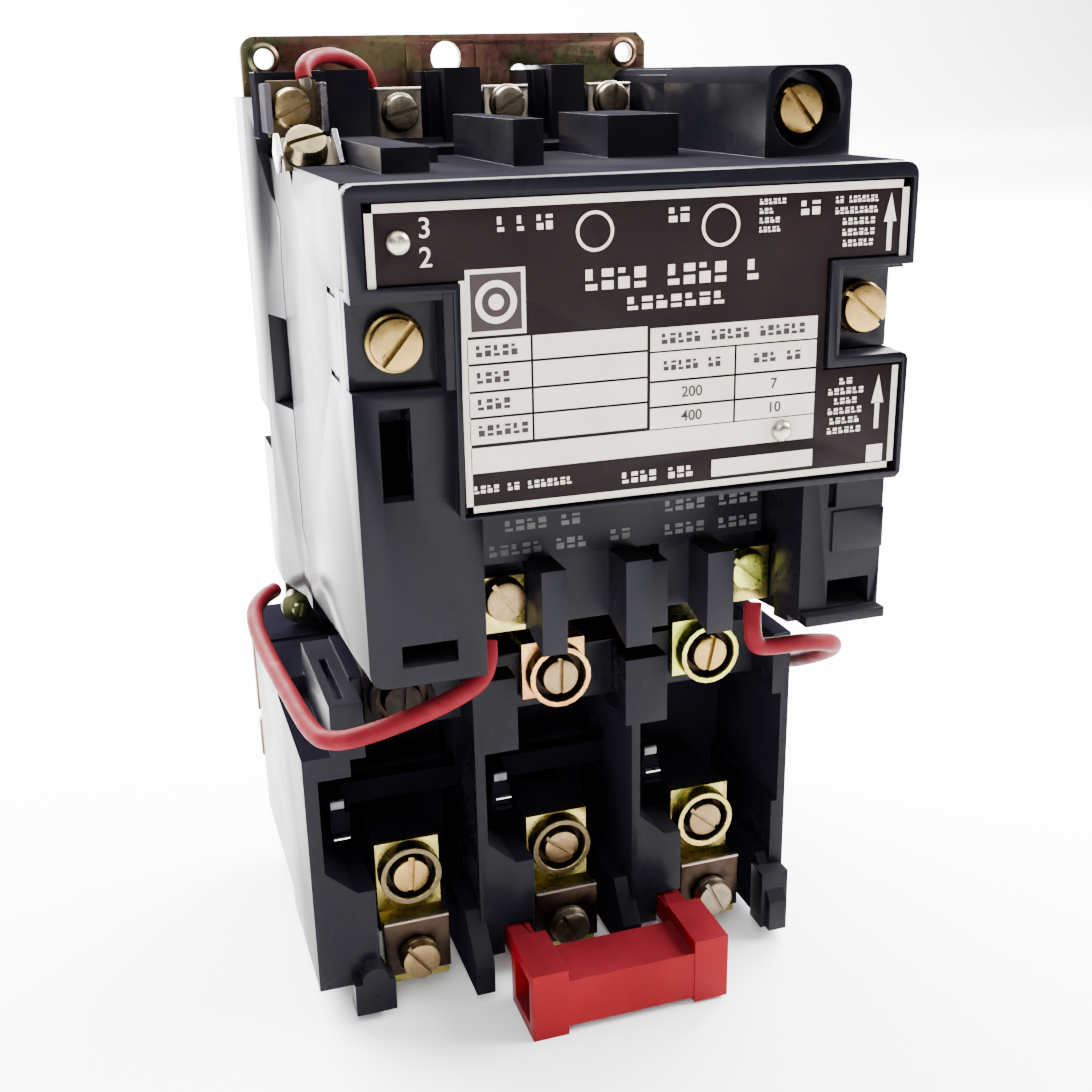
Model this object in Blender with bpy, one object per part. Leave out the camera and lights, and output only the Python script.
# Size 1 motor starter: a contactor with a three-pole overload relay, on a steel plate.
# Shapes are written in millimetres from the top centre of the front cover's face:
# X to the right, Y into the device, Z up. The row's origin is the middle of the
# mounting plate's back face, so every point is shifted by OX, OY and OZ.
import math

import bmesh
import bpy
from mathutils import Matrix, Vector

MM = 0.001
OX, OY, OZ = 4.5, -102.0, 57.5
GAP = 0.3

# mounting plate
PLATE_FRONT, PLATE_BACK = 100.0, 102.0
# front cover
COVER_BACK = 4.2
# poles
LINE_X = (-19.9, 2.6, 25.2)
BAY_X = (-36.7, -5.2, 26.8)
LINE_Y = 84.0
LINE_Z = (7.6, 8.8, 9.0)
TIP_FRONT = 75.0
TIP_TOP_Z, TIP_LOW_Z = -20.0, -42.0
# sloping top of the reset bar's arms, which lifts the trip slide
RAMP_Y, RAMP_Z, RAMP_SLOPE = 40.0, -135.0, 0.5
# lower auxiliary terminal
AUX_X, AUX_Y, AUX_Z, AUX_TILT = -44.0, 53.0, 2.7, -48.0

for old in list(bpy.data.objects):
    bpy.data.objects.remove(old, do_unlink=True)


def pt(x, y, z):
    return Vector(((x + OX) * MM, (y + OY) * MM, (z + OZ) * MM))


def material(name, colour, metallic, roughness):
    found = bpy.data.materials.get(name)
    if found:
        return found
    made = bpy.data.materials.new(name)
    made.use_nodes = True
    shader = made.node_tree.nodes["Principled BSDF"]
    shader.inputs["Base Color"].default_value = (*colour, 1)
    shader.inputs["Metallic"].default_value = metallic
    shader.inputs["Roughness"].default_value = roughness
    made.diffuse_color = (*colour, 1)
    return made


BLACK = material("moulding_black", (0.03, 0.03, 0.035), 0.0, 0.35)
LABEL = material("nameplate_black", (0.03, 0.025, 0.027), 0.3, 0.4)
CHROMATE = material("chromate_steel", (0.55, 0.5, 0.28), 0.9, 0.3)
BRASS = material("brass", (0.6, 0.45, 0.2), 1.0, 0.3)
COPPER = material("copper", (0.7, 0.4, 0.25), 1.0, 0.3)
STEEL = material("bright_steel", (0.6, 0.6, 0.6), 1.0, 0.3)
RED = material("reset_red", (0.55, 0.03, 0.04), 0.0, 0.4)
WIRE = material("wire_red", (0.5, 0.06, 0.07), 0.0, 0.45)
IRON = material("laminated_iron", (0.3, 0.3, 0.31), 0.9, 0.5)


def mesh_object(name, verts, faces):
    mesh = bpy.data.meshes.new(name)
    mesh.from_pydata([tuple(v) for v in verts], [], faces)
    made = bpy.data.objects.new(name, mesh)
    bpy.context.scene.collection.objects.link(made)
    bm = bmesh.new()
    bm.from_mesh(mesh)
    bmesh.ops.recalc_face_normals(bm, faces=bm.faces)
    bm.to_mesh(mesh)
    bm.free()
    return made


def prism(points, axis, a, b, name="piece"):
    """A polygon carried along an axis. Points are (Y,Z) for X, (X,Z) for Y and (X,Y) for Z."""
    def place(p, t):
        if axis == "X":
            return pt(t, p[0], p[1])
        if axis == "Y":
            return pt(p[0], t, p[1])
        return pt(p[0], p[1], t)

    n = len(points)
    verts = [place(p, a) for p in points] + [place(p, b) for p in points]
    faces = [list(range(n)), list(range(2 * n - 1, n - 1, -1))]
    faces += [[i, (i + 1) % n, n + (i + 1) % n, n + i] for i in range(n)]
    return mesh_object(name, verts, faces)


def box(x0, x1, y0, y1, z0, z1, name="piece"):
    return prism([(x0, y0), (x1, y0), (x1, y1), (x0, y1)], "Z", z0, z1, name)


def rod(x, z, r, y0, y1, n=20, r2=None, name="piece"):
    """A cylinder or cone along Y, from radius r at y0 to r2 at y1."""
    r2 = r if r2 is None else r2
    ring = [2 * math.pi * (i + 0.5) / n for i in range(n)]
    verts = [pt(x + r * math.cos(t), y0, z + r * math.sin(t)) for t in ring]
    verts += [pt(x + r2 * math.cos(t), y1, z + r2 * math.sin(t)) for t in ring]
    faces = [list(range(n)), list(range(2 * n - 1, n - 1, -1))]
    faces += [[i, (i + 1) % n, n + (i + 1) % n, n + i] for i in range(n)]
    return mesh_object(name, verts, faces)


def boolean(target, other, operation):
    modifier = target.modifiers.new("shape", "BOOLEAN")
    modifier.operation = operation
    modifier.solver = "EXACT"
    modifier.object = other
    bpy.context.view_layer.update()
    evaluated = target.evaluated_get(bpy.context.evaluated_depsgraph_get())
    shaped = bpy.data.meshes.new_from_object(evaluated)
    target.modifiers.remove(modifier)
    used = target.data
    target.data = shaped
    bpy.data.meshes.remove(used)
    bpy.data.objects.remove(other, do_unlink=True)


def build(name, first, steps=(), coat=BLACK, centre=None):
    """First shape, then (+1 or -1, shape) in order, as one named solid."""
    for sign, shape in steps:
        boolean(first, shape, "UNION" if sign > 0 else "DIFFERENCE")
    first.name = name
    first.data.name = name
    first.data.materials.clear()
    first.data.materials.append(coat)
    if centre is not None:
        first.data.transform(Matrix.Translation(-centre))
        first.location = centre
    return first


def round_smooth(obj):
    for face in obj.data.polygons:
        face.use_smooth = True
    obj.data.set_sharp_from_angle(angle=math.radians(40))


def arc(cx, cz, r, a0, a1, n):
    return [
        (
            cx + r * math.cos(math.radians(a0 + (a1 - a0) * i / n)),
            cz + r * math.sin(math.radians(a0 + (a1 - a0) * i / n)),
        )
        for i in range(n + 1)
    ]


def screw(name, x, z, front, head, r_top, r_base, shank, end, turn, coat, slot=1.3, deep=1.2):
    """A slotted screw pointing into the device: head from front, shank to end."""
    made = rod(x, z, r_top, front, front + 0.5 * head, 20, r_base)
    made_base = rod(x, z, r_base, front + 0.45 * head, front + head, 20)
    stem = rod(x, z, shank, front + head - 0.4, end, 12)
    cut = box(-slot / 2, slot / 2, front - 1, front + deep, -r_base - 1, r_base + 1)
    cut.data.transform(Matrix.Translation(-pt(0, 0, 0)))
    cut.data.transform(Matrix.Rotation(math.radians(turn), 4, "Y"))
    cut.data.transform(Matrix.Translation(pt(x, 0, z)))
    done = build(name, made, [(1, made_base), (1, stem), (-1, cut)], coat)
    round_smooth(done)
    return done


def coil_spring(name, x, z, y0, y1, radius, wire, turns, coat):
    curve = bpy.data.curves.new(name, "CURVE")
    curve.dimensions = "3D"
    curve.bevel_depth = wire * MM
    curve.bevel_resolution = 0
    curve.use_fill_caps = True
    line = curve.splines.new("POLY")
    steps = int(turns * 10)
    line.points.add(steps)
    for i in range(steps + 1):
        t = 2 * math.pi * i / 10
        y = y0 + (y1 - y0) * i / steps
        p = pt(x + radius * math.cos(t), y, z + radius * math.sin(t))
        line.points[i].co = (*p, 1)
    made = bpy.data.objects.new(name, curve)
    bpy.context.scene.collection.objects.link(made)
    curve.materials.append(coat)
    return made


def smooth_path(points, between):
    """Points on a curve that passes through each given point."""
    out = []
    for i in range(len(points) - 1):
        p0 = Vector(points[max(i - 1, 0)])
        p1, p2 = Vector(points[i]), Vector(points[i + 1])
        p3 = Vector(points[min(i + 2, len(points) - 1)])
        for k in range(between):
            t = k / between
            out.append(
                0.5
                * (
                    2 * p1
                    + (p2 - p0) * t
                    + (2 * p0 - 5 * p1 + 4 * p2 - p3) * t * t
                    + (3 * p1 - p0 - 3 * p2 + p3) * t * t * t
                )
            )
    return out + [Vector(points[-1])]


def wire(name, points, radius):
    curve = bpy.data.curves.new(name, "CURVE")
    curve.dimensions = "3D"
    curve.bevel_depth = radius * MM
    curve.bevel_resolution = 2
    curve.use_fill_caps = True
    path = smooth_path(points, 3)
    line = curve.splines.new("POLY")
    line.points.add(len(path) - 1)
    for i, p in enumerate(path):
        line.points[i].co = (*pt(*p), 1)
    made = bpy.data.objects.new(name, curve)
    bpy.context.scene.collection.objects.link(made)
    curve.materials.append(WIRE)
    return made


def tilted(y, z):
    """A (Y, Z) point of the lower auxiliary terminal, turned to face up and forward."""
    turn = math.radians(AUX_TILT)
    dy, dz = y - AUX_Y, z - AUX_Z
    return (AUX_Y + dy * math.cos(turn) - dz * math.sin(turn), AUX_Z + dy * math.sin(turn) + dz * math.cos(turn))


# ---------------------------------------------------------------- mounting plate
plate_outline = (
    [(-48.6, -104.0)]
    + [(-48.6, 19.7)]
    + arc(-45.6, 19.7, 3.0, 165, 105, 3)
    + [(-45.6, 22.7), (37.8, 22.7), (39.8, 20.7), (39.8, -104.0), (48.0, -104.0)]
    + [(48.0, -137.7), (-57.2, -137.7), (-57.2, -128.4), (-53.5, -128.4)]
    + [(-53.5, -125.8), (-57.2, -125.8), (-57.2, -104.0)]
)
build(
    "mounting_plate",
    prism(plate_outline, "Y", PLATE_FRONT, PLATE_BACK),
    [
        (-1, rod(-44.0, 18.3, 2.5, 95, 105, 16)),
        (-1, rod(34.6, 18.5, 2.3, 95, 105, 16)),
        (-1, rod(-5.6, 18.0, 3.3, 95, 105, 16)),
        (-1, box(-8.2, -3.0, 95, 105, 4.0, 18.0)),
        (-1, rod(10.6, 14.4, 2.1, 95, 105, 16)),
        (1, box(-14.4, -11.3, 99.2, 100.5, 6.0, 20.4)),
        (1, box(0.7, 3.8, 99.2, 100.5, 6.0, 20.4)),
        (1, box(-32.0, -28.9, 99.2, 100.5, 6.0, 20.8)),
        (-1, rod(-44.0, -133.0, 2.5, 95, 105, 16)),
        (-1, rod(35.0, -133.0, 2.5, 95, 105, 16)),
    ],
    CHROMATE,
)

# ---------------------------------------------------------------- contactor base
BASE_BACK = PLATE_FRONT - GAP - 0.6
side = [
    (BASE_BACK, -89.5),
    (BASE_BACK, 2.6),
    (83.2, 2.6),
    (76.9, -6.7),
    (70.3, -11.0),
    (72.7, -18.7),
    (72.7, -73.6),
    (65.2, -78.0),
    (66.6, -89.5),
]
steps = [
    # flared side walls
    (1, prism([(-47.0, 73.5), (-50.6, 86.0), (-50.6, BASE_BACK), (-47.0, BASE_BACK)], "Z", -89.5, 11.1)),
    (1, prism([(47.0, 73.5), (50.6, 88.0), (50.6, BASE_BACK), (47.0, BASE_BACK)], "Z", -89.5, 2.6)),
    # deck under the line terminals
    (1, box(-37.0, 47.0, 66.0, BASE_BACK, -8.0, 1.6)),
    # wall behind the line terminals, and the auxiliary block
    (1, box(-37.0, 30.0, 86.4, BASE_BACK, 0.0, 11.4)),
    (1, box(-49.9, -36.5, 70.3, 77.0, 3.9, 15.7)),
    (1, box(-48.6, -36.5, 76.0, BASE_BACK, 1.0, 11.1)),
    # pole barriers
    (1, box(-37.2, -28.2, 72.0, 82.0, 0.0, 15.9)),
    (1, box(-29.0, -25.3, 79.0, 86.2, 0.0, 12.2)),
    (1, box(-11.3, -3.8, 80.0, BASE_BACK - 1, 0.0, 16.0)),
    (1, box(-14.7, -10.0, 84.5, BASE_BACK - 1, 0.0, 15.3)),
    (1, box(11.2, 18.3, 80.0, BASE_BACK - 1, 0.0, 16.1)),
    (1, box(7.8, 12.0, 84.5, BASE_BACK - 1, 0.0, 15.3)),
    # rear half of the corner-screw tower
    (1, prism([(31.4, 0.0), (46.5, 0.0)] + arc(43.5, 12.2, 3.0, 0, 90, 3) + arc(34.4, 12.2, 3.0, 90, 180, 3), "Y", 66.3, BASE_BACK - 1)),
    (-1, rod(37.9, 7.9, 2.9, 60.0, 92.0, 16)),
    # contact chamber, open to the front
    (-1, box(-38.0, 38.0, 60.0, 93.5, -62.0, -11.5)),
    # slots for the line terminals and the load straps
    (-1, box(-26.0, -13.8, 83.4, 86.1, -16.0, 20.0)),
    (-1, box(-3.5, 8.7, 83.4, 86.1, -16.0, 20.0)),
    (-1, box(19.1, 31.1, 83.4, 86.1, -16.0, 20.0)),
    (-1, box(-25.6, -14.2, 74.4, 77.2, -95.0, -55.0)),
    (-1, box(-3.1, 8.3, 74.4, 77.2, -95.0, -55.0)),
    (-1, box(19.5, 30.9, 74.4, 77.2, -95.0, -55.0)),
    # window in the left side, and the notch below it where the plate's edge shows
    (-1, box(-55.0, -45.0, 72.0, 82.3, -49.0, -30.6)),
    (-1, box(-55.0, -48.0, 86.0, 101.0, -60.0, -51.5)),
    # room for the drawn-back left side of the housing
    (-1, prism([(60.0, -12.4), (60.0, 3.8), (81.2, 3.8), (80.7, 0.9), (76.4, -6.7), (70.0, -11.4), (69.0, -12.4)], "X", -51.0, -43.7)),
    # groove for the top jumper behind the first line terminal
    (-1, box(-26.8, -21.0, 87.0, 94.0, 8.4, 14.0)),
]
build("contactor_base", prism(side, "X", -47.3, 47.3), steps)

# ---------------------------------------------------------------- front housing
profile = [
    (4.5, 0.0),
    (65.7, 0.0),
    (65.7, -9.3),
    (69.8, -11.3),
    (71.5, -18.7),
    (71.5, -73.3),
    (64.7, -77.8),
    (66.2, -88.3),
    (4.5, -81.4),
]
# lower left corner of the left leg, cut to a radius that follows the sloping underside
corner = prism(
    [(-50.0, -78.4), (-47.3, -78.4)] + arc(-44.3, -78.4, 3.0, 180, 270, 4)[1:] + [(-44.3, -86.0), (-50.0, -86.0)], "Y", -1.0, 80.0
)
for vertex in corner.data.vertices:
    vertex.co.z -= (vertex.co.y - pt(0, 4.5, 0).y) * 0.1118
tower = [(30.0, -1.0), (46.5, -1.0)] + arc(43.5, 12.2, 3.0, 0, 90, 4) + arc(33.0, 12.2, 3.0, 90, 180, 4)
steps = [
    # left side drawn back to the auxiliary block
    (1, prism([(60.0, -12.0), (60.0, 0.0), (79.9, 0.0), (75.5, -6.7), (69.2, -10.9), (66.0, -12.0)], "X", -47.3, -44.0)),
    # ledge that carries the lower auxiliary terminal
    (1, prism([(48.0, -1.5), (50.2, 0.0), (58.5, 3.0), (63.5, 3.0), (63.5, -1.5)], "X", -47.3, -38.0)),
    # partition blocks on the top
    (1, box(-37.4, -29.5, 20.6, 64.0, -1.0, 4.0)),
    (1, box(-29.6, -22.0, 45.0, 64.0, -1.0, 2.6)),
    (1, box(-13.8, -8.5, 26.0, 65.0, -1.0, 7.5)),
    (1, box(-8.6, -4.0, 45.0, 65.0, -1.0, 7.1)),
    (1, box(7.5, 21.2, 38.0, 65.0, -1.0, 7.3)),
    (1, prism(tower, "Y", 21.0, 65.7)),
    (-1, rod(37.9, 7.9, 6.5, 15.0, 26.4, 24)),
    (-1, rod(37.9, 7.9, 2.9, 20.0, 70.0, 16)),
    # tilted pocket of the lower auxiliary terminal
    (-1, prism([tilted(y, z) for y, z in ((49.0, -3.4), (55.7, -3.4), (55.7, 8.6), (40.0, 8.6), (40.0, -3.4))], "X", -50.8, -37.9)),
    # cavity for the coil and the magnet
    (-1, box(-27.2, 31.2, 0.0, 80.0, -95.0, -4.0)),
    # hollows in the two legs
    (-1, box(-44.8, -29.7, 8.0, 80.0, -77.6, -38.0)),
    (-1, box(34.8, 44.8, 8.0, 80.0, -78.0, -38.0)),
    # room for the right coil terminal
    (-1, box(30.0, 33.4, 14.0, 26.0, -90.0, -66.0)),
    # recesses for the cover's ears and the cover screws
    (-1, box(-50.0, -26.0, 4.0, 9.0, -31.5, -15.8)),
    (-1, box(30.0, 50.0, 4.0, 9.0, -31.5, -15.8)),
    (-1, rod(-40.0, -24.1, 2.6, 5.0, 30.0, 16)),
    (-1, rod(41.0, -24.1, 2.6, 5.0, 30.0, 16)),
    # slots in the left leg
    (-1, box(-43.3, -38.3, 0.0, 12.0, -49.3, -34.3)),
    (-1, box(-41.7, -32.2, 0.0, 12.0, -78.0, -74.2)),
    # slot, step and lip of the right leg
    (1, box(37.1, 47.2, 3.9, 6.0, -67.5, -60.0)),
    (-1, box(36.8, 45.2, 0.0, 12.0, -78.3, -73.1)),
    (-1, box(30.5, 48.5, 3.0, 8.5, -90.0, -80.4)),
    (1, box(31.4, 47.3, 1.9, 6.0, -80.5, -78.6)),
    (-1, box(36.2, 37.8, 0.0, 6.0, -59.2, -53.9)),
    (-1, corner),
    # marks in the left side beside the cover
    (-1, box(-48.3, -46.9, 13.6, 21.0, -18.0, -16.9)),
    (-1, box(-48.3, -46.9, 14.2, 22.0, -31.6, -30.6)),
]
build("magnet_housing", prism(profile, "X", -47.3, 47.3), steps)

# ---------------------------------------------------------------- front cover
cover_outline = (
    arc(-46.0, -1.5, 1.5, 180, 90, 2)
    + arc(45.3, -2.2, 2.2, 90, 0, 4)
    + [(47.5, -16.5), (33.8, -16.5), (33.8, -31.3)]
    + arc(46.3, -32.6, 1.3, 90, 0, 2)
    + [(47.5, -52.6), (46.6, -53.5), (-31.4, -52.2), (-32.0, -51.6), (-31.7, -16.2), (-47.5, -16.2)]
)
recess = [
    (-45.0, -2.5),
    (46.6, -2.5),
    (46.6, -15.2),
    (32.2, -15.2),
    (32.2, -33.0),
    (46.6, -33.0),
    (46.6, -52.3),
    (-31.2, -51.9),
    (-30.6, -15.0),
    (-45.0, -15.0),
]
build(
    "front_cover",
    prism(cover_outline, "Y", 0.0, COVER_BACK),
    [
        (-1, prism(recess, "Y", -3.0, 1.6)),
        # ears that the cover screws hold, with their side walls
        (1, box(-47.3, -31.0, 6.4, 8.7, -31.2, -16.3)),
        (1, box(-33.2, -31.0, 0.6, 8.7, -31.2, -16.3)),
        (1, box(-47.3, -31.0, 0.9, 8.7, -17.3, -16.1)),
        (1, box(32.6, 46.8, 6.4, 8.7, -31.2, -16.3)),
        (1, box(32.6, 34.6, 0.6, 8.7, -31.2, -16.3)),
        (1, box(32.6, 46.8, 2.0, 8.7, -17.3, -16.1)),
        (-1, rod(-40.0, -24.1, 2.6, 0.0, 12.0, 16)),
        (-1, rod(41.0, -24.1, 2.6, 0.0, 12.0, 16)),
    ],
)

# ---------------------------------------------------------------- nameplate
label = [
    (-44.6, -2.9),
    (46.3, -2.9),
    (46.3, -14.8),
    (31.8, -14.8),
    (31.8, -33.4),
    (46.3, -33.4),
    (46.3, -51.9),
    (-30.9, -51.5),
    (-30.3, -14.6),
    (-44.6, -14.6),
]
build(
    "nameplate",
    prism(label, "Y", 0.7, 1.3),
    [
        (-1, rod(-39.7, -8.5, 1.1, 0.0, 2.0, 12)),
        (-1, rod(24.3, -43.1, 1.1, 0.0, 2.0, 12)),
    ],
    LABEL,
)
for number, (x, z) in enumerate(((-39.7, -8.5), (24.3, -43.1)), 1):
    cap = rod(x, z, 0.9, -0.8, -0.3, 16, 1.8)
    made = build(
        f"nameplate_rivet_{number}",
        cap,
        [(1, rod(x, z, 1.8, -0.35, 0.4, 16)), (1, rod(x, z, 0.8, 0.2, 1.3, 12))],
        STEEL,
    )
    round_smooth(made)

# ---------------------------------------------------------------- cover and corner screws
screw("cover_screw_left", -40.0, -24.1, 3.1, 3.0, 4.1, 4.7, 2.1, 22.0, 40, BRASS, 1.2, 1.5)
screw("cover_screw_right", 41.0, -24.1, 3.1, 3.0, 4.1, 4.5, 2.1, 22.0, -50, BRASS, 0.8, 1.5)
screw("corner_screw", 37.9, 7.9, 22.8, 3.2, 4.2, 4.6, 2.4, 84.0, -40, BRASS, 1.2, 1.3)
screw("relay_mount_screw", -48.0, -95.5, 82.0, 3.6, 1.6, 3.6, 1.8, 92.0, 20, CHROMATE, 0.9, 0.9)

# ---------------------------------------------------------------- coil, magnet, armature
COIL_FACE = 19.5
steps = [
    # terminal block that shows below the cover
    (1, box(-26.9, 30.9, COIL_FACE, 41.0, -67.4, -46.0)),
    # three barriers that stand forward
    (1, prism([(11.0, -66.9), (11.0, -82.7), (19.0, -80.5), (30.0, -76.0), (30.0, -66.0), (20.0, -66.0), (19.9, -67.2)], "X", -15.3, -10.6)),
    (1, prism([(11.0, -67.0), (11.0, -83.3), (19.0, -80.5), (30.0, -76.0), (30.0, -66.0), (20.0, -66.0), (19.9, -67.3)], "X", 0.4, 5.4)),
    (1, prism([(11.0, -67.4), (11.0, -83.0), (19.0, -80.5), (30.0, -76.0), (30.0, -66.0), (20.0, -66.0), (19.9, -67.7)], "X", 16.2, 21.4)),
    # webs between the barriers
    (1, box(-10.8, 1.0, 19.6, 24.0, -80.0, -66.0)),
    (1, box(5.2, 10.4, 15.6, 24.0, -82.1, -69.4)),
    (1, box(10.2, 16.4, 19.6, 24.0, -80.0, -66.0)),
    # backs of the two terminal pockets
    (1, box(-26.9, -14.0, 22.0, 30.0, -81.5, -66.0)),
    (1, box(21.0, 30.9, 22.0, 30.0, -81.5, -66.0)),
    # window for the middle leg of the core
    (-1, box(-4.8, 8.8, 15.0, 50.0, -38.8, -21.2)),
    # room over the coil screw holes
    (-1, rod(-19.9, -73.8, 2.1, 15.0, 29.0, 12)),
    (-1, rod(27.6, -74.4, 2.1, 15.0, 29.0, 12)),
]
build("coil", box(-15.8, 19.8, COIL_FACE, 44.2, -52.0, -11.0), steps)

for name, x0, x1, xs, zs, turn in (
    ("left", -26.4, -15.6, -19.9, -73.8, -35),
    ("right", 22.2, 33.1, 27.6, -74.4, -50),
):
    build(
        f"coil_terminal_{name}",
        box(x0, x1, 20.2, 21.7, zs - 7.0, zs + 3.7),
        [(-1, rod(xs, zs, 2.1, 15.0, 29.0, 12))],
        BRASS,
    )
    screw(f"coil_screw_{name}", xs, zs, 16.6, 3.3, 3.3, 4.0, 1.7, 27.0, turn, BRASS, 0.9, 1.1)

build(
    "magnet_core",
    box(-24.0, 28.0, 8.0, 18.8, -38.0, -22.0),
    [
        (1, box(-24.0, -16.6, 18.0, 46.5, -38.0, -22.0)),
        (1, box(20.6, 28.0, 18.0, 46.5, -38.0, -22.0)),
        (1, box(-4.0, 8.0, 18.0, 46.2, -38.0, -22.0)),
    ],
    IRON,
)
build("armature", box(-24.0, 28.0, 50.9, 59.9, -38.0, -22.0), [], IRON, pt(2.0, 55.4, -30.0))

# ---------------------------------------------------------------- moving contacts
steps = [
    (1, box(-2.0, 6.0, 62.0, 79.5, -34.0, -26.0)),
    (1, box(-31.0, 35.5, 78.6, 91.4, -37.0, -25.0)),
]
for x in LINE_X:
    steps.append((-1, box(x - 4.7, x + 4.7, 83.2, 90.2, -45.0, -15.0)))
build("contact_carrier", box(-20.0, 24.0, 60.2, 63.0, -50.5, -22.0), steps, BLACK, pt(2.0, 75.0, -30.0))

for number, x in enumerate(LINE_X, 1):
    build(
        f"contact_bridge_{number}",
        box(x - 4.0, x + 4.0, 83.5, 84.9, -46.0, -16.0),
        [
            (1, rod(x, TIP_TOP_Z, 2.2, 82.2, 84.0, 12)),
            (1, rod(x, TIP_LOW_Z, 2.2, 82.2, 84.0, 12)),
        ],
        COPPER,
        pt(x, 84.0, -31.0),
    )
    coil_spring(f"contact_spring_{number}", x, -31.0, 85.7, 89.4, 2.4, 0.35, 3, STEEL)
    # line terminal: outer plate, a run forward, and the fixed contact
    wide = 4.7
    build(
        f"line_terminal_{number}",
        box(x - wide, x + wide, LINE_Y, LINE_Y + 1.6, -14.4, 12.2),
        [
            (1, box(x - wide, x + wide, TIP_FRONT, LINE_Y + 1.6, -14.6, -13.0)),
            (1, box(x - wide, x + wide, TIP_FRONT, TIP_FRONT + 1.6, -24.0, -13.0)),
            (1, rod(x, TIP_TOP_Z, 2.2, TIP_FRONT + 1.0, TIP_FRONT + 2.8, 12)),
            (-1, rod(x, LINE_Z[number - 1], 2.3, 80.0, 90.0, 12)),
        ],
        CHROMATE,
    )
    # strap down to the overload relay, with the upper heater collar
    bay = BAY_X[number - 1]
    left, right = min(x - 4.7, bay - 6.5), max(x + 4.7, bay + 6.5)
    build(
        f"load_strap_{number}",
        box(x - wide, x + wide, TIP_FRONT, TIP_FRONT + 1.6, -92.0, -38.0),
        [
            (1, rod(x, TIP_LOW_Z, 2.2, TIP_FRONT + 1.0, TIP_FRONT + 2.8, 12)),
            (1, box(left, right, 68.0, TIP_FRONT + 1.6, -92.4, -90.8)),
            (1, box(bay - 6.5, bay + 6.5, 36.0, 69.0, -92.4, -90.8)),
            (1, box(bay - 6.5, bay + 6.5, 36.0, 37.5, -102.6, -91.0)),
            (1, rod(bay + 0.4, -97.4, 6.3, 32.6, 36.5, 20)),
            (-1, rod(bay + 0.4, -97.4, 5.3, 30.0, 36.0, 20)),
            (-1, rod(bay + 0.4, -97.4, 2.1, 30.0, 40.0, 12)),
        ],
        (COPPER, COPPER, BRASS)[number - 1],
    )
    screw(f"line_screw_{number}", x, LINE_Z[number - 1], 80.5, 3.2, 2.6, 3.8, 1.9, 86.0, (75, 60, 10)[number - 1], STEEL, 0.9, 1.1)
    screw(
        f"heater_screw_upper_{number}", bay + 0.4, -97.4, 32.4, 3.2, 3.2, 3.9, 1.7, 37.6, (5, 2, 12)[number - 1], BRASS, 0.9, 1.1
    )

coil_spring("return_spring", 2.0, -45.5, 45.2, 59.2, 3.2, 0.45, 5, STEEL)

# ---------------------------------------------------------------- auxiliary terminals
build(
    "aux_terminal_upper",
    box(-49.3, -37.9, 68.4, 69.9, 4.2, 14.2),
    [
        (1, box(-49.3, -48.1, 62.5, 69.0, 5.0, 13.8)),
        (1, box(-39.1, -37.9, 62.5, 69.0, 5.0, 13.8)),
        (-1, rod(-43.9, 9.3, 2.2, 60.0, 75.0, 12)),
    ],
    BRASS,
)
screw("aux_screw_upper", -43.9, 9.3, 64.9, 3.2, 2.9, 3.7, 1.8, 70.1, 65, BRASS, 0.9, 1.1)


def tilt(obj, centre, degrees):
    turn = (
        Matrix.Translation(centre)
        @ Matrix.Rotation(math.radians(degrees), 4, "X")
        @ Matrix.Translation(-centre)
    )
    obj.data.transform(turn)


pivot = pt(AUX_X, AUX_Y, AUX_Z)
lower = build(
    "aux_terminal_lower",
    box(-49.6, -38.1, 54.0, 55.3, -2.0, 6.6),
    [
        (1, box(-49.6, -48.7, 50.9, 54.5, -2.4, 4.6)),
        (1, box(-39.1, -38.1, 50.9, 54.5, -3.0, 5.4)),
        (-1, rod(AUX_X, AUX_Z, 1.9, 50.0, 60.0, 12)),
    ],
    BRASS,
)
lower_screw = screw("aux_screw_lower", AUX_X, AUX_Z, 50.4, 3.3, 3.1, 3.9, 1.6, 55.3, 72, BRASS, 0.9, 1.1)
for obj in (lower, lower_screw):
    tilt(obj, pivot, AUX_TILT)

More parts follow.
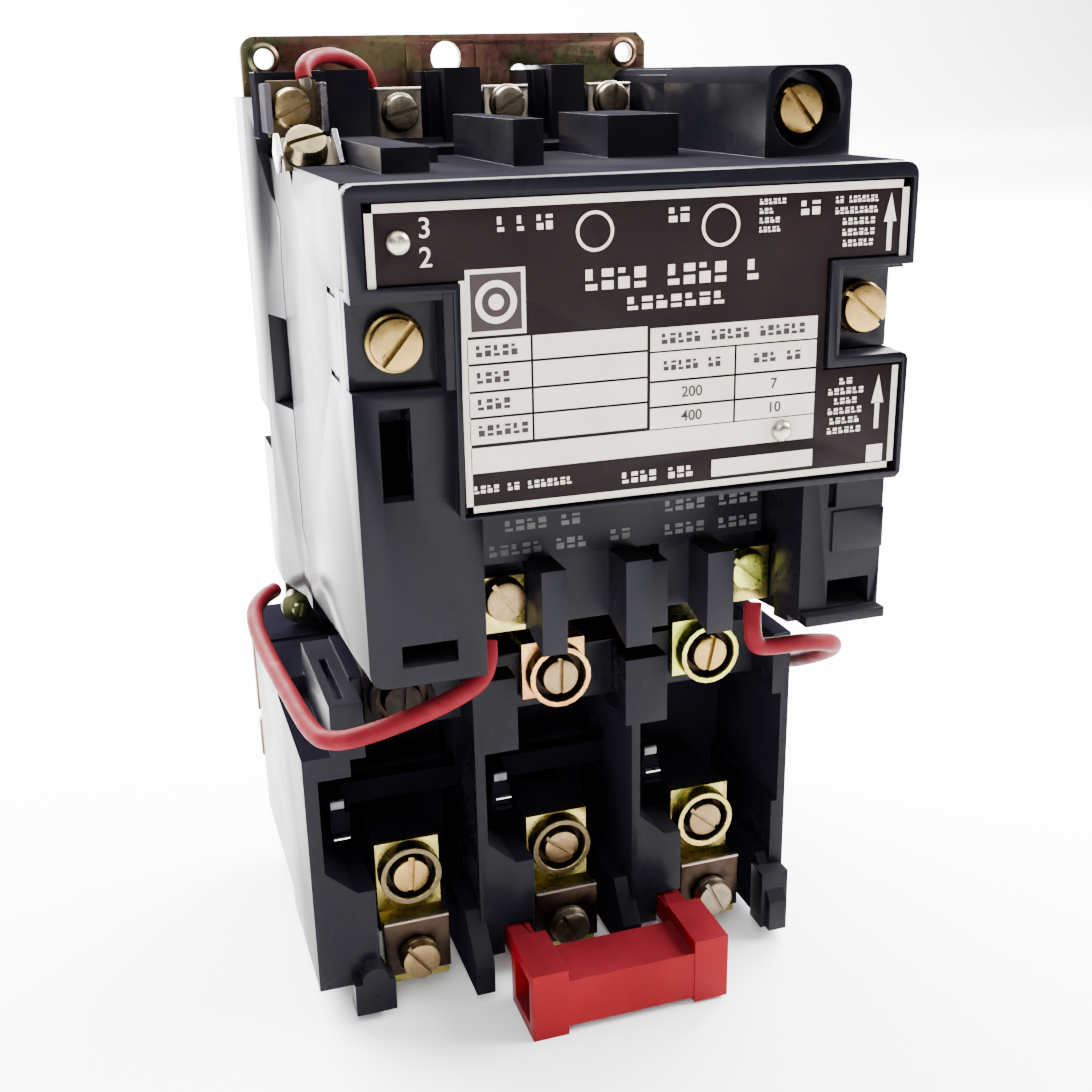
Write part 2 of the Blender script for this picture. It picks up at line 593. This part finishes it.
# ---------------------------------------------------------------- overload relay
RF = 28.0  # front plane of the ribs
steps = [
    # four ribs
    (1, box(-56.9, -54.2, RF, 60.0, -154.2, -104.2)),
    (1, box(-24.0, -22.0, RF, 60.0, -154.2, -104.0)),
    (1, box(8.3, 10.1, RF, 60.0, -154.2, -104.0)),
    (1, box(41.0, 42.8, RF, 60.0, -154.2, -96.0)),
    # raised blocks at the rib tops
    (1, box(-56.9, -47.9, RF, 60.0, -108.8, -104.1)),
    (1, box(-51.2, -45.0, RF - 0.6, 60.0, -105.0, -93.8)),
    (-1, box(-49.3, -47.9, 30.4, 50.0, -97.0, -90.0)),
    (1, box(-24.0, -15.2, RF, 34.0, -109.0, -93.8)),
    (1, box(-24.0, -20.5, 33.0, 60.0, -109.0, -93.8)),
    (1, box(7.0, 15.8, RF, 34.0, -107.9, -93.9)),
    (1, box(7.6, 11.5, 33.0, 60.0, -107.9, -93.9)),
    (1, box(39.0, 42.8, RF, 60.0, -106.2, -93.0)),
    # ledges at the lower left of each bay
    (1, prism([(-55.0, -127.6), (-48.3, -133.8), (-44.8, -133.8), (-44.8, -154.2), (-55.0, -154.2)], "Y", RF, 60.0)),
    (1, prism([(-23.0, -127.6), (-16.4, -133.8), (-12.7, -133.8), (-12.7, -154.2), (-23.0, -154.2)], "Y", RF, 60.0)),
    (1, prism([(9.0, -127.6), (15.6, -133.8), (19.2, -133.8), (19.2, -154.2), (9.0, -154.2)], "Y", RF, 60.0)),
    (1, box(39.7, 42.8, RF, 60.0, -154.2, -131.0)),
    # shelf behind the upper heater pads
    (1, box(-45.5, 42.0, 38.0, 60.0, -105.0, -93.2)),
    # backs of the lower pads
    (1, box(-42.9, -30.5, 38.0, 60.0, -150.0, -129.4)),
    (1, box(-11.4, 1.0, 38.0, 60.0, -150.0, -129.4)),
    (1, box(20.6, 33.0, 38.0, 60.0, -150.0, -129.4)),
    # lower ends of the ribs, and the three numbered stubs
    (1, prism([(22.5, -158.8), (22.5, -152.0), (30.0, -144.0), (60.0, -144.0), (60.0, -154.2), (44.0, -158.8)], "X", -26.8, -23.0)),
    (1, prism([(25.0, -158.8), (25.0, -152.0), (31.0, -144.0), (60.0, -144.0), (60.0, -154.2), (44.0, -158.8)], "X", 5.4, 9.2)),
    (1, prism([(22.5, -158.8), (22.5, -152.0), (30.0, -144.0), (60.0, -144.0), (60.0, -154.2), (44.0, -158.8)], "X", 37.4, 41.4)),
    (1, box(-50.6, -42.6, 24.4, 29.6, -159.0, -152.1)),
    (1, rod(-46.4, -151.7, 2.7, 24.4, 29.6, 12)),
    (1, box(36.4, 42.4, 24.4, 29.6, -158.9, -146.0)),
    # passages for the reset stems
    (-1, box(-19.2, -13.3, 20.0, 56.0, -165.0, -147.6)),
    (-1, box(13.8, 19.8, 20.0, 56.0, -165.0, -147.6)),
    # wells for the two arms that rise from the stems
    (-1, box(-19.2, -13.3, 39.2, 51.2, -150.0, -125.0)),
    (-1, box(13.8, 19.8, 39.2, 51.2, -150.0, -125.0)),
    # channel through the ribs for the trip slide
    (-1, box(-54.3, 30.0, 44.6, 51.6, -126.8, -116.4)),
    # seat of the mounting screw
    (1, box(-56.0, -44.0, 78.0, BASE_BACK, -101.0, -99.6)),
]
build("overload_base", box(-56.9, 42.8, 58.0, BASE_BACK, -150.0, -100.2), steps)

for number, x in enumerate(BAY_X, 1):
    build(
        f"load_terminal_{number}",
        box(x - 6.5, x + 6.5, 36.0, 37.5, -145.8, -129.0),
        [
            (1, box(x - 6.5, x + 6.5, 31.6, 37.5, -145.9, -144.4)),
            (1, box(x - 6.5, x + 6.5, 31.6, 33.1, -158.2, -144.5)),
            (1, rod(x, -135.3, 6.2, 32.6, 36.5, 20)),
            (-1, rod(x, -135.3, 5.1, 30.0, 36.0, 20)),
            (-1, rod(x, -135.3, 2.1, 30.0, 40.0, 12)),
            (-1, rod(x, -151.2, 2.1, 25.0, 40.0, 12)),
        ],
        BRASS,
    )
    screw(
        f"heater_screw_lower_{number}", x, -135.3, 32.4, 3.2, 3.2, 3.9, 1.7, 37.6, (5, -52, -50)[number - 1], BRASS, 0.9, 1.1
    )
    build(
        f"wire_clamp_{number}",
        box(x - 6.6, x + 6.6, 30.0, 31.2, -155.6, -143.6),
        [
            (1, box(x - 6.6, x - 5.6, 30.2, 31.2, -150.0, -143.6)),
            (-1, rod(x, -151.2, 2.1, 25.0, 40.0, 12)),
        ],
        BRASS,
    )
    screw(
        f"load_screw_{number}", x, -151.2, 26.4, 3.2, 3.5, 4.1, 1.7, 37.0, (-38, -30, -25)[number - 1], BRASS, 0.9, 1.1
    )

# ---------------------------------------------------------------- reset bar and trip slide
def ramp(y):
    return RAMP_Z - RAMP_SLOPE * (y - RAMP_Y)


wedge = [(RAMP_Y, -150.0), (RAMP_Y, ramp(RAMP_Y)), (RAMP_Y + 6.0, ramp(RAMP_Y + 6.0)), (RAMP_Y + 6.0, -150.0)]
build(
    "reset_bar",
    box(-19.7, -12.5, 8.0, 22.0, -161.0, -146.5),
    [
        (1, box(-13.0, 14.2, 8.2, 20.0, -159.3, -149.1)),
        (1, box(13.7, 20.8, 8.0, 22.0, -160.3, -146.5)),
        # channel in each end block
        (-1, box(-25.0, -15.0, 10.4, 19.6, -158.6, -148.9)),
        (-1, box(16.0, 25.0, 10.4, 19.6, -158.0, -148.9)),
        # the bar is open at its back
        (-1, box(-11.0, 12.2, 10.4, 30.0, -157.4, -151.0)),
        # stems
        (1, box(-18.6, -13.9, 19.8, 50.0, -153.6, -148.6)),
        (1, box(14.4, 19.2, 19.8, 50.0, -153.6, -148.6)),
        # arms whose sloping tops lift the trip slide
        (1, prism(wedge, "X", -18.5, -14.0)),
        (1, prism(wedge, "X", 14.5, 19.1)),
    ],
    RED,
    pt(0.0, 8.0, -153.7),
)
foot = [(42.0, -120.0), (50.0, -120.0), (50.0, ramp(50.0) + GAP), (42.0, ramp(42.0) + GAP)]
steps = [
    (1, prism(foot, "X", -18.5, -14.0)),
    (1, prism(foot, "X", 14.5, 19.1)),
]
for x in (-49.5, -17.0, 15.3):
    # a finger with a tab at its top and a strip at its lower edge
    steps.append((1, box(x - 1.9, x + 1.9, 35.4, 47.0, -124.7, -120.0)))
    steps.append((1, box(x - 1.8, x + 1.0, 35.0, 36.4, -121.0, -117.2)))
    steps.append((1, box(x - 1.7, x + 2.0, 34.6, 36.0, -125.3, -124.6)))
build("trip_slide", box(-53.2, 19.5, 46.0, 50.0, -124.4, -119.6), steps, BLACK, pt(0.0, 48.0, -122.0))

# ---------------------------------------------------------------- wires
wire(
    "wire_left",
    [
        (-24.1, 15.5, -80.0), (-24.6, 14.0, -83.0), (-26.4, 13.0, -86.1), (-31.2, 11.0, -87.7), (-38.9, 9.3, -89.3),
        (-48.0, 9.8, -91.6), (-53.1, 12.8, -93.1), (-55.6, 19.0, -93.6), (-57.4, 36.0, -93.0), (-59.0, 57.0, -91.9),
        (-58.8, 71.0, -90.9), (-56.2, 80.0, -91.0), (-52.6, 87.0, -91.8),
    ],
    1.75,
)
wire(
    "wire_right",
    [
        (27.6, 15.6, -80.0), (26.9, 14.0, -84.0), (27.6, 13.8, -87.6), (30.6, 14.6, -89.0), (37.6, 15.8, -89.8),
        (43.6, 17.6, -91.2), (47.8, 20.2, -93.2), (49.6, 25.0, -96.8), (50.6, 36.0, -103.0), (51.2, 46.0, -107.6),
        (50.2, 57.0, -109.8), (46.8, 63.0, -110.4), (43.3, 64.6, -110.4),
    ],
    1.75,
)
wire(
    "wire_top",
    [
        (-41.4, 65.8, 14.4), (-41.2, 67.2, 16.3), (-38.7, 72.0, 17.9), (-34.0, 77.0, 18.5), (-29.1, 82.8, 17.3),
        (-25.6, 87.6, 15.1), (-23.9, 90.4, 11.4),
    ],
    1.5,
)
